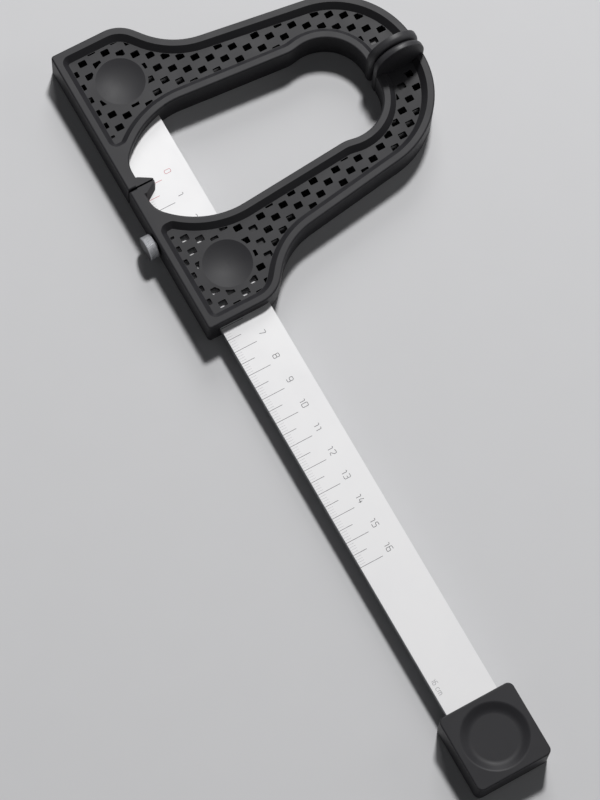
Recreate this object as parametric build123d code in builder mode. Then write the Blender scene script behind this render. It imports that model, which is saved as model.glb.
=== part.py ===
from build123d import *
import math
import os

os.makedirs("parts", exist_ok=True)

# Sliding bone-breadth caliper: a flat rule, a fixed jaw, a sliding jaw that locks with a
# thumbscrew, and an end stop. Millimetres. X runs along the rule from its zero line to the
# stop, Y from the reading edge of the rule to the jaw tips, Z up from the jaws' flat backs.

# Rule
rule_width = 20.0
rule_thick = 2.85
face_thick = 0.15          # white printed face bonded on the bar
rule_bed = 5.25            # underside of the bar above the backs
rule_tail = 23.0           # length held in the fixed jaw, behind the zero line
scale_length = 160.0       # graduated range
over_travel = 0.6          # sliding jaw runs this much past the last line
stop_gap = 0.3             # sliding jaw to end stop at full opening

# Jaw plan
jaw_thick = 13.0
jaw_length = 59.5          # from the zero line to the outer end
half_slit = 0.35           # each jaw keeps this far from the zero line
spine_edge = 4.5           # spine beyond the reading edge
shoulder_height = 23.2     # corner of end edge and shoulder slope
shoulder_slope = 38.7      # degrees below the X direction
reach = 115.1              # outer line of the tip
tip_depth = 19.7           # outer line to inner line of the tip
arm_lean = 8.3             # outer edge of the arm against Y, degrees
throat_half = 20.6         # half width of the throat below its round top
tip_overhang = 11.0        # outer edge of the arm meets the tip line this far outside it
bulge_rise = 17.4          # inner line of the tip to the bulge in the arm's inner edge
bulge_run = 5.0            # bulge to waist
bulge_step = 0.85          # the waist stands in by this much
inner_lean = 4.7           # inner edge of the arm against Y, degrees
loop_angle = 43.0          # rise of the loop around the rule, degrees
loop_foot = 9.9            # the rise starts here on the spine
loop_floor = 0.25          # spine overlaps the reading edge by this much

# Each round of the jaw plan takes this share of a side beside its corner
end_share = 0.043          # of the end edge
shoulder_share = 0.292     # of the shoulder slope
neck_share = 0.525         # of the shoulder slope
tip_share = 0.776          # of the tip line
throat_share = 0.925       # of the side down to the bulge
bulge_share = 0.2          # of the side from bulge to waist
waist_share = 0.3          # of the side from bulge to waist
loop_share = 0.802         # of the rise of the loop
foot_share = 0.188         # of the rise of the loop

# Jaw section
rim_width = 2.6
rim_round = 0.6
pocket_depth = 2.4
pocket_slope = 2.1         # the pocket wall runs in by this much to its foot
pocket_tongue = 17.0       # pocket ends this far from the zero line
pocket_corner = 3.0
web_thick = 1.4
back_thick = 2.0

# Lattice of the web
cell_x = 5.64
cell_y = 4.64
cell_first_x = 21.48
cell_first_y = 0.24
hole_x = 2.4
hole_y = 3.1
hole_corner = 0.4
hole_margin = 0.1          # between a hole and the foot of the pocket wall
hole_least = 1.0           # clipped holes smaller than this area are left out

# Thumb dish
dish_inset = 19.5          # centre to the outer end of the jaw
dish_y = 13.7
dish_radius = 9.1
dish_depth = 1.2
dish_land = 1.0

# Pointer on the zero line
pointer_height = 5.6
pointer_half = 3.4
pointer_step = 0.6         # flank starts this far above the loop
pointer_foot = 2.1         # flank runs out by this much down to the rule
pointer_nose = 0.5         # width of the pointer's end

# Inside the jaws
rule_clear = 0.12
guide_wall = 1.6
tie_rib_gap = 6.2          # guide wall to the middle of the tie rib at the neck
tie_rib_width = 3.6
bed_rib = 1.6
bed_rib_pitch = 9.0

# Contact plates
plate_thick = 3.6
plate_proud = 0.15         # beyond the inner and outer line of the tip
plate_rise = 2.65          # centre of the round top above the rim
plate_round = 1.3
contact_gap = 0.1          # each contact face to the zero plane
tenon_length = 8.0
tenon_width = 8.0
tenon_bed = 2.4            # boss under the tenon
tenon_skin = 0.4           # tenon to the web

# Fasteners
screw_radius = 1.1
screw_head_radius = 1.9
screw_head = 1.4
screw_sink = 0.3
screw_tip_gap = 0.6        # tip of a case screw to the web
screw_inset = 2.25         # end screws of the spine from its edge
screw_from_slit = 8.65
screw_from_end = 7.5
loop_screw_inset = 2.2
neck_screw_inset = 5.0
small_screw_radius = 0.8
small_head_radius = 1.5
boss_radius = 2.2
small_boss_radius = 1.6
back_boss_radius = 2.5
seat_clear = 0.1

# Lock
lock_x = 20.2
stud_radius = 1.45
knob_radius = 4.6
knob_thick = 3.6
knob_gap = 0.7
knob_chamfer = 0.3
insert_radius = 2.5
insert_sink = 0.3
pad_radius = 1.95
pad_thick = 1.3
pad_gap = 0.2              # free pad to the reading edge
pad_back_gap = 0.2         # free pad to the insert
run_clear = 0.05

# Spring behind the far edge of the rule
spring_thick = 0.25
spring_length = 20.0
spring_height = 2.4
spring_bow = 0.6
spring_gap = 0.04

# End stop
stop_length = 28.8
stop_cheek = 4.5           # beyond each edge of the rule
stop_corner = 2.3
stop_round = 0.5
stop_well_edge = 2.4       # rim around the round well in its top
stop_well_slope = 2.7      # the well's wall runs in by this much to its floor
stop_well_depth = 1.5
stop_well_lip = 1.5        # rounds at the top and the foot of that wall
stop_well_foot = 4.0
stop_wall = 5.0            # closed end beyond the rule
stop_screw_radius = 1.5
stop_head_radius = 2.8
rule_screw_inset = 2.5     # from the end of the rule in the fixed jaw
rule_screw_offset = 3.4    # from the middle of the rule

# Derived levels and places
rule_top = rule_bed + rule_thick + face_thick
split_height = rule_bed + (rule_thick + face_thick) / 2
pocket_floor = jaw_thick - pocket_depth
web_bottom = pocket_floor - web_thick
slot_low = rule_bed - rule_clear
slot_high = rule_top + rule_clear
slot_near = -rule_clear
slot_far = rule_width + rule_clear
hollow_edge = rim_width - spine_edge
pocket_foot = rim_width + pocket_slope
stop_start = jaw_length + scale_length + over_travel + stop_gap
rule_end = stop_start + stop_length - stop_wall
stop_x = stop_start + stop_length / 2
stop_width = rule_width + 2 * stop_cheek
rule_middle = rule_width / 2
tie_rib = slot_far + guide_wall + tie_rib_gap
dish_x = jaw_length - dish_inset
throat_top = reach - tip_depth
bulge_height = throat_top - bulge_rise
waist_height = bulge_height - bulge_run
waist_half = throat_half - bulge_step
tip_corner = throat_half + tip_overhang
tip_back = -2 * rim_width
plate_radius = tip_depth / 2 + plate_proud
plate_centre_y = throat_top + tip_depth / 2
plate_centre_z = jaw_thick + plate_rise
tenon_low = back_thick + tenon_bed
tenon_high = web_bottom - tenon_skin
screw_tip = web_bottom - screw_tip_gap
insert_outer = spine_edge - insert_sink
pad_outer = pad_gap + pad_thick
insert_inner = pad_outer + pad_back_gap
insert_length = insert_outer - insert_inner


def meet(p, angle_p, q, angle_q):
    """Where the line through p meets the line through q, directions in degrees."""
    ax, ay = math.cos(math.radians(angle_p)), math.sin(math.radians(angle_p))
    bx, by = math.cos(math.radians(angle_q)), math.sin(math.radians(angle_q))
    t = ((q[0] - p[0]) * by - (q[1] - p[1]) * bx) / (ax * by - ay * bx)
    return (p[0] + t * ax, p[1] + t * ay)


# Sharp corners of the jaw plan
end_corner = (jaw_length, -spine_edge)
shoulder = (jaw_length, shoulder_height)
tip = (tip_corner, reach)
neck = meet(shoulder, 180 - shoulder_slope, tip, arm_lean - 90)
throat = (throat_half, throat_top)
bulge = (throat_half, bulge_height)
waist = (waist_half, waist_height)
foot = (loop_foot, loop_floor)
loop = meet(waist, inner_lean - 90, foot, loop_angle)

# Corners in order, each with the share of the side before (-1) or after (1) that it rounds
plan = [
    ((half_slit, -spine_edge), 0, 0),
    (end_corner, end_share, 1),
    (shoulder, shoulder_share, 1),
    (neck, neck_share, -1),
    (tip, tip_share, 1),
    ((tip_back, reach), 0, 0),
    ((tip_back, throat_top), 0, 0),
    (throat, throat_share, 1),
    (bulge, bulge_share, 1),
    (waist, waist_share, -1),
    (loop, loop_share, 1),
    (foot, foot_share, -1),
    ((half_slit, loop_floor), 0, 0),
]


def heading(place):
    """Direction of the side that leaves a corner of the plan, in degrees."""
    here, there = plan[place][0], plan[place + 1][0]
    return math.degrees(math.atan2(there[1] - here[1], there[0] - here[0]))


def on_side(place, amount):
    """A point of the side that leaves a corner, set in by amount."""
    angle = math.radians(heading(place) + 90)
    here = plan[place][0]
    return (here[0] + amount * math.cos(angle), here[1] + amount * math.sin(angle))


def bend(place, amount):
    """Corner of the plan set in by amount, with the radius of its round."""
    corner, share, side = plan[place]
    before, after = heading(place - 1), heading(place)
    turn = math.remainder(after - before, 360)
    tangent = share * math.dist(corner, plan[place + side][0])
    radius = tangent / math.tan(math.radians(abs(turn) / 2)) - math.copysign(amount, turn)
    return meet(on_side(place - 1, amount), before, on_side(place, amount), after), radius


def inset_plan(amount, tongue, corner=0.0):
    """Jaw plan set in by amount, ending at tongue towards the zero line."""
    last = len(plan) - (2 if tongue < loop_foot else 3)
    bends = [bend(place, amount) for place in range(2, last + 1)]
    far_end = meet(on_side(last, amount), heading(last), (-reach, 0), 90)
    end_low = (jaw_length - amount, amount - spine_edge)
    end_radius = corner if corner else bend(1, amount)[1]
    with BuildSketch() as inset:
        with BuildLine():
            Polyline((end_low[0], -2 * reach), *[spot for spot, radius in bends], far_end,
                     (-reach, -2 * reach), close=True)
        make_face()
        for place, (spot, radius) in enumerate(bends, 2):
            if plan[place][1] and radius > 0:
                fillet(inset.vertices().sort_by_distance(spot)[0], radius)
        with Locations((tongue, waist_height)):
            Rectangle(2 * reach, 4 * reach, align=(Align.MAX, Align.MAX), mode=Mode.SUBTRACT)
        with Locations((0, end_low[1])):
            Rectangle(4 * reach, 4 * reach, align=(Align.CENTER, Align.MAX), mode=Mode.SUBTRACT)
        if end_radius > 0:
            fillet(inset.vertices().sort_by_distance(end_low)[0], end_radius)
        if corner:
            fillet([v for v in inset.vertices() if abs(v.X - tongue) < 0.001], corner)
    return inset.sketch


jaw_plan = inset_plan(0, half_slit)
wall_plan = inset_plan(rim_width / 2, loop_foot)
hollow_plan = inset_plan(rim_width, pocket_tongue, pocket_corner)


def band(low, high, left, right):
    """Strip across the jaw plan, from low to high in Y, buried in the walls."""
    with BuildSketch() as strip:
        add(wall_plan)
        with Locations((left, low)):
            Rectangle(right - left, high - low,
                      align=(Align.MIN, Align.MIN), mode=Mode.INTERSECT)
    return strip.sketch


def between_cells(x, y):
    """Place between two cells of an even row of the lattice, next to x and y."""
    column = math.floor((x - cell_first_x) / cell_x) + 0.5
    row = 2 * math.floor((y - cell_first_y) / (2 * cell_y))
    return (cell_first_x + column * cell_x, cell_first_y + row * cell_y)


mid_arm = between_cells((waist_half + neck[0]) / 2, (waist_height + neck[1]) / 2 + cell_y)
tip_screw = between_cells(plate_thick + tenon_length / 2, plate_centre_y + cell_y)
tenon_play = tip_depth / 2 - rim_width - tenon_width / 2 - run_clear
tenon_y = max(plate_centre_y - tenon_play, min(tip_screw[1], plate_centre_y + tenon_play))
case_screws = [
    (half_slit + screw_from_slit, screw_inset - spine_edge),
    (jaw_length - screw_from_end, screw_inset - spine_edge),
    (loop[0] + loop_screw_inset, tie_rib),
    (neck[0] + neck_screw_inset, tie_rib),
]
arm_screws = [mid_arm, tip_screw]
with BuildSketch() as tie_band:
    add(band(tie_rib - tie_rib_width / 2, tie_rib + tie_rib_width / 2, 0, jaw_length))
    with Locations(*case_screws[2:]):
        Circle((boss_radius + screw_radius) / 2, mode=Mode.SUBTRACT)
guide_band = band(slot_far, slot_far + guide_wall, 0, jaw_length)
bed_rib_first = pocket_tongue + 1.5 * bed_rib_pitch
bed_rib_count = int((jaw_length - rim_width - bed_rib - bed_rib_first) / bed_rib_pitch) + 1
bed_rib_places = [bed_rib_first + bed_rib_pitch * k for k in range(bed_rib_count)]
bed_ribs = [band(hollow_edge, slot_far, x - bed_rib / 2, x + bed_rib / 2) for x in bed_rib_places]
edge_band = band(hollow_edge - rim_width / 2, slot_near, pocket_tongue - 1, jaw_length)

cells = [
    (cell_first_x + (column + 0.5 * (row % 2)) * cell_x, cell_first_y + row * cell_y)
    for row in range(int(reach / cell_y) + 1)
    for column in range(-int(cell_first_x / cell_x), int((jaw_length - cell_first_x) / cell_x) + 1)
]
web_plan = inset_plan(pocket_foot + hole_margin, pocket_tongue + pocket_foot)
with BuildSketch() as lattice:
    with Locations(*cells):
        RectangleRounded(hole_x, hole_y, hole_corner)
    add(web_plan, mode=Mode.INTERSECT)
    with Locations((dish_x, dish_y)):
        Circle(dish_radius + dish_land, mode=Mode.SUBTRACT)
lattice_holes = [
    face for face in lattice.faces()
    if face.area > hole_least and face.center().X > plate_thick + 2.0
]

dish_sphere = (dish_radius ** 2 + dish_depth ** 2) / (2 * dish_depth)

# Front shell, as it is before the openings that differ between the jaws
with BuildPart() as front_blank:
    with BuildSketch(Plane.XY.offset(split_height)):
        add(jaw_plan)
    extrude(amount=jaw_thick - split_height)
    fillet(front_blank.faces().sort_by(Axis.Z)[-1].outer_wire().edges(), rim_round)
    with BuildSketch(Plane.XY.offset(jaw_thick)):
        add(hollow_plan)
    extrude(amount=-pocket_depth, taper=math.degrees(math.atan(pocket_slope / pocket_depth)),
            mode=Mode.SUBTRACT)
    with BuildSketch(Plane.XY.offset(split_height)):
        add(hollow_plan)
    extrude(amount=web_bottom - split_height, mode=Mode.SUBTRACT)
    with BuildSketch(Plane.XY.offset(split_height)):
        add(guide_band)
        add(edge_band)
        with Locations(*case_screws[2:]):
            Circle(boss_radius)
        with Locations(mid_arm):
            Circle(small_boss_radius)
    extrude(amount=web_bottom - split_height)
    with BuildSketch(Plane.XY.offset(tenon_high + run_clear)):
        with Locations(tip_screw):
            Circle(small_boss_radius)
    extrude(amount=web_bottom - tenon_high - run_clear)
    with BuildSketch(Plane.XY.offset(pocket_floor)):
        add(lattice_holes)
    extrude(amount=-web_thick, mode=Mode.SUBTRACT)
    with Locations((dish_x, dish_y, pocket_floor - dish_depth + dish_sphere)):
        Sphere(dish_sphere, mode=Mode.SUBTRACT)
    with BuildSketch(Plane.XY.offset(slot_high)):
        with BuildLine():
            Polyline((half_slit, -rim_width / 2), (pointer_half + pointer_foot, -rim_width / 2),
                     (pointer_half + pointer_foot, loop_floor),
                     (pointer_half - 2 * pointer_step, pointer_height - pointer_step),
                     (half_slit, pointer_height + pointer_nose), close=True)
        make_face()
    with BuildSketch(Plane.XY.offset(jaw_thick)):
        with BuildLine():
            Polyline((half_slit, -rim_width / 2), (pointer_half, -rim_width / 2),
                     (pointer_half, loop_floor + pointer_step),
                     (half_slit + pointer_nose, pointer_height - pointer_nose),
                     (half_slit, pointer_height), close=True)
        make_face()
    loft()
    with Locations((tip_back, waist_height, 0)):
        Box(plate_thick - tip_back, reach, jaw_thick * 3,
            align=(Align.MIN, Align.MIN, Align.CENTER), mode=Mode.SUBTRACT)
    with Locations(*[(x, y, split_height) for x, y in case_screws]):
        Cylinder(screw_radius, screw_tip - split_height + seat_clear,
                 align=(Align.CENTER, Align.CENTER, Align.MIN), mode=Mode.SUBTRACT)
    with Locations(*[(x, y, split_height) for x, y in arm_screws]):
        Cylinder(small_screw_radius, web_bottom - split_height,
                 align=(Align.CENTER, Align.CENTER, Align.MIN), mode=Mode.SUBTRACT)

# Back shell, likewise
with BuildPart() as back_blank:
    with BuildSketch():
        add(jaw_plan)
    extrude(amount=split_height)
    fillet(back_blank.faces().sort_by(Axis.Z)[0].outer_wire().edges(), rim_round)
    with BuildSketch(Plane.XY.offset(split_height)):
        add(hollow_plan)
    extrude(amount=back_thick - split_height, mode=Mode.SUBTRACT)
    with BuildSketch(Plane.XY.offset(back_thick)):
        add(guide_band)
        add(edge_band)
        with Locations(*case_screws[2:], mid_arm):
            Circle(boss_radius)
    extrude(amount=split_height - back_thick)
    with BuildSketch(Plane.XY.offset(back_thick)):
        with Locations(tip_screw):
            Circle(back_boss_radius)
    extrude(amount=tenon_low - run_clear - back_thick)
    with BuildSketch(Plane.XY.offset(back_thick)):
        add(bed_ribs)
    extrude(amount=slot_low - back_thick)
    with Locations((tip_back, waist_height, 0)):
        Box(plate_thick - tip_back, reach, jaw_thick * 3,
            align=(Align.MIN, Align.MIN, Align.CENTER), mode=Mode.SUBTRACT)
    with Locations(*[(x, y, 0) for x, y in case_screws]):
        Cylinder(screw_radius, split_height, mode=Mode.SUBTRACT,
                 align=(Align.CENTER, Align.CENTER, Align.MIN))
        Cylinder(screw_head_radius + run_clear, screw_sink + screw_head, mode=Mode.SUBTRACT,
                 align=(Align.CENTER, Align.CENTER, Align.MIN))
    with Locations(*[(x, y, 0) for x, y in arm_screws]):
        Cylinder(small_screw_radius, split_height, mode=Mode.SUBTRACT,
                 align=(Align.CENTER, Align.CENTER, Align.MIN))
        Cylinder(small_head_radius + run_clear, screw_sink + screw_head, mode=Mode.SUBTRACT,
                 align=(Align.CENTER, Align.CENTER, Align.MIN))

lock_spot = (lock_x, split_height)
rule_screw_spot = (rule_screw_inset - rule_tail, rule_middle - rule_screw_offset)
stop_screw_spot = (stop_x, rule_middle)
spring_near = rule_width + spring_gap
spring_far = spring_near + spring_bow + spring_thick


def lock_bore(radius, near, far):
    """Cut a round bore for the lock, from near to far outside the reading edge."""
    with Locations(Location((lock_x, -near, split_height), (90, 0, 0))):
        Cylinder(radius, far - near, align=(Align.CENTER, Align.CENTER, Align.MIN),
                 mode=Mode.SUBTRACT)


def open_for_rule(left, right, low, high):
    """Cut the channel of the rule from left to right and from low to high."""
    with Locations(((left + right) / 2, rule_middle, (low + high) / 2)):
        Box(right - left, slot_far - slot_near, high - low, mode=Mode.SUBTRACT)


def finish_sliding_shell(start, height):
    """Make what only the sliding jaw has: its tie rib, the lock bores and the spring's seat."""
    extrude(Pos(0, 0, start) * tie_band.sketch, amount=height)
    lock_bore(stud_radius + run_clear * 4, insert_outer, spine_edge + 1)
    lock_bore(insert_radius, insert_inner, insert_outer)
    lock_bore(pad_radius + run_clear, slot_near, insert_inner)
    with Locations((dish_x, slot_far, split_height)):
        Box(spring_length + 1, spring_far + run_clear - slot_far, spring_height + 2 * run_clear,
            align=(Align.CENTER, Align.MIN, Align.CENTER), mode=Mode.SUBTRACT)


# Sliding jaw
with BuildPart() as sliding_jaw_front:
    add(front_blank.part)
    open_for_rule(-1, jaw_length + 1, split_height - 1, slot_high)
    finish_sliding_shell(split_height, web_bottom - split_height)

with BuildPart() as sliding_jaw_back:
    add(back_blank.part)
    open_for_rule(-1, jaw_length + 1, slot_low, split_height + 1)
    finish_sliding_shell(back_thick, split_height - back_thick)

fixed_wall_plan = mirror(wall_plan, about=Plane.YZ)

# Fixed jaw, the mirror image, closed at its outer end and screwed to the rule
with BuildPart() as fixed_jaw_front:
    mirror(front_blank.part, about=Plane.YZ)
    open_for_rule(-rule_tail - run_clear, 1, split_height - 1, slot_high)

with BuildPart() as fixed_jaw_back:
    mirror(back_blank.part, about=Plane.YZ)
    with BuildSketch(Plane.XY.offset(back_thick)):
        with Locations(rule_screw_spot):
            Circle(stop_head_radius + 0.8)
        add(fixed_wall_plan, mode=Mode.INTERSECT)
    extrude(amount=slot_low - back_thick)
    open_for_rule(-rule_tail - run_clear, 1, slot_low, split_height + 1)
    with Locations(rule_screw_spot):
        Cylinder(stop_screw_radius, jaw_thick, mode=Mode.SUBTRACT)
        Cylinder(stop_head_radius + run_clear, 2 * (screw_sink + screw_head), mode=Mode.SUBTRACT)

# Contact plates, round topped, each with a tenon held between the shells of its jaw
with BuildPart() as plate_blank:
    with BuildSketch(Plane.YZ.offset(contact_gap)):
        with Locations((plate_centre_y, plate_centre_z)):
            Circle(plate_radius)
        with Locations((plate_centre_y, 0)):
            Rectangle(2 * plate_radius, plate_centre_z, align=(Align.CENTER, Align.MIN))
    extrude(amount=plate_thick - contact_gap)
    fillet(plate_blank.faces().sort_by(Axis.X)[0].edges(), plate_round)
    round_top = plate_blank.faces().sort_by(Axis.X)[-1].edges().filter_by(GeomType.CIRCLE)
    fillet(round_top, plate_round)
    with Locations((plate_thick, tenon_y, tenon_low)):
        Box(tenon_length, tenon_width, tenon_high - tenon_low,
            align=(Align.MIN, Align.CENTER, Align.MIN))
    with Locations((tip_screw[0], tip_screw[1], tenon_low)):
        Cylinder(small_screw_radius, jaw_thick, mode=Mode.SUBTRACT)

with BuildPart() as sliding_contact_plate:
    add(plate_blank.part)

with BuildPart() as fixed_contact_plate:
    mirror(plate_blank.part, about=Plane.YZ)


def screw(shank, head, top):
    """Cheese head screw driven from the backs, at the current locations."""
    Cylinder(head, screw_head, align=(Align.CENTER, Align.CENTER, Align.MIN))
    Cylinder(shank, top - screw_sink, align=(Align.CENTER, Align.CENTER, Align.MIN))


rule_screw_top = rule_bed + rule_thick - 2 * seat_clear
with BuildPart() as sliding_case_screws:
    with Locations(*[(x, y, screw_sink) for x, y in case_screws]):
        screw(screw_radius, screw_head_radius, screw_tip)

with BuildPart() as fixed_case_screws:
    mirror(sliding_case_screws.part, about=Plane.YZ)

with BuildPart() as sliding_arm_screws:
    with Locations(*[(x, y, screw_sink) for x, y in arm_screws]):
        screw(small_screw_radius, small_head_radius, web_bottom - seat_clear)

with BuildPart() as fixed_arm_screws:
    mirror(sliding_arm_screws.part, about=Plane.YZ)

with BuildPart() as rule_screws:
    with Locations((*rule_screw_spot, screw_sink), (*stop_screw_spot, screw_sink)):
        screw(stop_screw_radius, stop_head_radius, rule_screw_top)

# Rule: aluminium bar with a white face
with BuildPart() as rule_bar:
    with Locations((-rule_tail, 0, rule_bed)):
        Box(rule_tail + rule_end, rule_width, rule_thick,
            align=(Align.MIN, Align.MIN, Align.MIN))
    with Locations((*rule_screw_spot, rule_bed), (*stop_screw_spot, rule_bed)):
        Cylinder(stop_screw_radius, rule_screw_top - rule_bed,
                 align=(Align.CENTER, Align.CENTER, Align.MIN), mode=Mode.SUBTRACT)

with BuildPart() as scale_face:
    with Locations((-rule_tail, 0, rule_bed + rule_thick)):
        Box(rule_tail + rule_end, rule_width, face_thick,
            align=(Align.MIN, Align.MIN, Align.MIN))

# End stop, with a round well in its top
well_radius = min(stop_length, stop_width) / 2 - stop_well_edge
with BuildPart() as end_stop:
    with BuildSketch():
        with Locations(stop_screw_spot):
            RectangleRounded(stop_length, stop_width, stop_corner)
    extrude(amount=jaw_thick)
    fillet(end_stop.faces().sort_by(Axis.Z)[-1].edges(), stop_round)
    fillet(end_stop.faces().sort_by(Axis.Z)[0].edges(), rim_round)
    with Locations((*stop_screw_spot, jaw_thick)):
        Cone(well_radius - stop_well_slope, well_radius, stop_well_depth,
             align=(Align.CENTER, Align.CENTER, Align.MAX), mode=Mode.SUBTRACT)
    well_edges = end_stop.edges().filter_by(GeomType.CIRCLE).group_by(SortBy.RADIUS)
    fillet(well_edges[-1], stop_well_lip)
    well_foot = end_stop.edges().filter_by(GeomType.CIRCLE)
    fillet(well_foot.filter_by(lambda e: abs(e.radius - well_radius + stop_well_slope) < 0.01),
           stop_well_foot)
    open_for_rule(stop_start - 1, rule_end + run_clear, slot_low, slot_high)
    with Locations(stop_screw_spot):
        Cylinder(stop_screw_radius, slot_low * 2, mode=Mode.SUBTRACT)
        Cylinder(stop_head_radius + run_clear, 2 * (screw_sink + screw_head), mode=Mode.SUBTRACT)

# Lock: brass insert in the spine, brake pad on the reading edge, stud with a knurled knob
with BuildPart() as lock_insert:
    with BuildSketch(Plane.XZ.offset(insert_inner)):
        with Locations(lock_spot):
            Circle(insert_radius)
            Circle(stud_radius + run_clear, mode=Mode.SUBTRACT)
    extrude(amount=insert_length)

with BuildPart() as lock_pad:
    with BuildSketch(Plane.XZ.offset(pad_gap)):
        with Locations(lock_spot):
            Circle(pad_radius)
    extrude(amount=pad_thick)

knob_inner = spine_edge + knob_gap
knob_outer = knob_inner + knob_thick
stud_end = knob_outer - 2 * knob_chamfer
with BuildPart() as lock_stud:
    with BuildSketch(Plane.XZ.offset(pad_outer + run_clear)):
        with Locations(lock_spot):
            Circle(stud_radius)
    extrude(amount=stud_end - pad_outer - run_clear)

with BuildPart() as lock_knob:
    with BuildSketch(Plane.XZ.offset(knob_inner)):
        with Locations(lock_spot):
            Circle(knob_radius)
    extrude(amount=knob_thick)
    chamfer(lock_knob.edges().filter_by(GeomType.CIRCLE), knob_chamfer)
    lock_bore(stud_radius, knob_inner, stud_end)

# Bowed leaf spring that takes up the play at the far edge of the rule
with BuildPart() as play_spring:
    with BuildSketch(Plane.XY.offset(split_height - spring_height / 2)):
        with BuildLine():
            near_arc = ThreePointArc((dish_x - spring_length / 2, spring_near + spring_bow),
                                     (dish_x, spring_near),
                                     (dish_x + spring_length / 2, spring_near + spring_bow))
            far_arc = ThreePointArc((dish_x - spring_length / 2, spring_far),
                                    (dish_x, spring_near + spring_thick),
                                    (dish_x + spring_length / 2, spring_far))
            Line(near_arc @ 0, far_arc @ 0)
            Line(near_arc @ 1, far_arc @ 1)
        make_face()
    extrude(amount=spring_height)

nodes = {
    "fixed_jaw_front_shell": fixed_jaw_front,
    "fixed_jaw_back_shell": fixed_jaw_back,
    "fixed_contact_plate": fixed_contact_plate,
    "fixed_case_screws": fixed_case_screws,
    "fixed_arm_screws": fixed_arm_screws,
    "rule_bar": rule_bar,
    "scale_face": scale_face,
    "rule_screws": rule_screws,
    "end_stop": end_stop,
    "sliding_jaw_front_shell": sliding_jaw_front,
    "sliding_jaw_back_shell": sliding_jaw_back,
    "sliding_contact_plate": sliding_contact_plate,
    "sliding_case_screws": sliding_case_screws,
    "sliding_arm_screws": sliding_arm_screws,
    "play_spring": play_spring,
    "lock_insert": lock_insert,
    "lock_pad": lock_pad,
    "lock_stud": lock_stud,
    "lock_knob": lock_knob,
}
for name, piece in nodes.items():
    piece.part.label = name
    export_step(piece.part, f"parts/{name}.step")
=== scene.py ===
import math
import bpy
import bmesh
from mathutils import Euler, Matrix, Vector


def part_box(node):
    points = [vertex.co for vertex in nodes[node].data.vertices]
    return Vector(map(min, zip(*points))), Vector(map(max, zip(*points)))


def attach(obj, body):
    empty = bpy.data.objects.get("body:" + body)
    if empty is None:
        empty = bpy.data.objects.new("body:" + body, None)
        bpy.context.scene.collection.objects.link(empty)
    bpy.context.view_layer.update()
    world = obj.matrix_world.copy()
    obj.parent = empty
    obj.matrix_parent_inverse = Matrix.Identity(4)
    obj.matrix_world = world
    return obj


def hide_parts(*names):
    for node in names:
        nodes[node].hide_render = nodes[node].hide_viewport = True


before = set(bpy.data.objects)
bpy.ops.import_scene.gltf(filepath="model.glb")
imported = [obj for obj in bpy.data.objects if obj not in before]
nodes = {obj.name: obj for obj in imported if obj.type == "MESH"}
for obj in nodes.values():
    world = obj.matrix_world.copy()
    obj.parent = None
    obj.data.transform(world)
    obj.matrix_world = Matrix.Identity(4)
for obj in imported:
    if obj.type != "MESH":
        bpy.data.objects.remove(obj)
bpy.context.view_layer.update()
print("model loaded with", len(nodes), "nodes")

mm = 0.001


# small helpers

def addNode(tree, kind, **settings):
    node = tree.nodes.new(kind)
    for key, value in settings.items():
        setattr(node, key, value)
    return node


def join(tree, source, target):
    tree.links.new(source, target)


def feed(tree, value, socket):
    # a plain value is set on the socket, another node's output is linked to it
    if isinstance(value, (int, float, tuple, Vector)):
        socket.default_value = value
    else:
        join(tree, value, socket)


def setInputs(node, **values):
    for key, value in values.items():
        node.inputs[key.replace("_", " ")].default_value = value
    return node


def mathNode(tree, operation, first, second=None, clamp=False):
    node = addNode(tree, "ShaderNodeMath", operation=operation, use_clamp=clamp)
    feed(tree, first, node.inputs[0])
    if second is not None:
        feed(tree, second, node.inputs[1])
    return node.outputs[0]


def vectorNode(tree, operation, first, second):
    node = addNode(tree, "ShaderNodeVectorMath", operation=operation)
    feed(tree, first, node.inputs[0])
    feed(tree, second, node.inputs[1])
    return node.outputs["Vector"]


def rangeNode(tree, value, fromLow, fromHigh, toLow, toHigh, smooth=False):
    node = addNode(tree, "ShaderNodeMapRange", clamp=True)
    if smooth:
        node.interpolation_type = "SMOOTHSTEP"
    join(tree, value, node.inputs["Value"])
    limits = {"From Min": fromLow, "From Max": fromHigh, "To Min": toLow, "To Max": toHigh}
    for key, number in limits.items():
        feed(tree, number, node.inputs[key])
    return node.outputs["Result"]


def mixColour(tree, factor, first, second):
    # sockets 6 and 7 are the node's two colours
    node = addNode(tree, "ShaderNodeMix", data_type="RGBA")
    for key, value in ((0, factor), (6, first), (7, second)):
        feed(tree, value, node.inputs[key])
    return node.outputs[2]


def palerThan(colour, factor, lift=0.0):
    return tuple(min(1.0, channel * factor + lift) for channel in colour[:3]) + (1.0,)


def addObject(name, data):
    thing = bpy.data.objects.new(name, data)
    bpy.context.scene.collection.objects.link(thing)
    return thing


def newGroup(name, kind, inputs, outputs):
    tree = bpy.data.node_groups.new(name, kind)
    for direction, sockets in (("INPUT", inputs), ("OUTPUT", outputs)):
        for label, socketType, value in sockets:
            socket = tree.interface.new_socket(name=label, in_out=direction, socket_type=socketType)
            if value is not None:
                socket.default_value = value
    return tree, addNode(tree, "NodeGroupInput"), addNode(tree, "NodeGroupOutput")


# shader groups shared by several finishes

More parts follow.
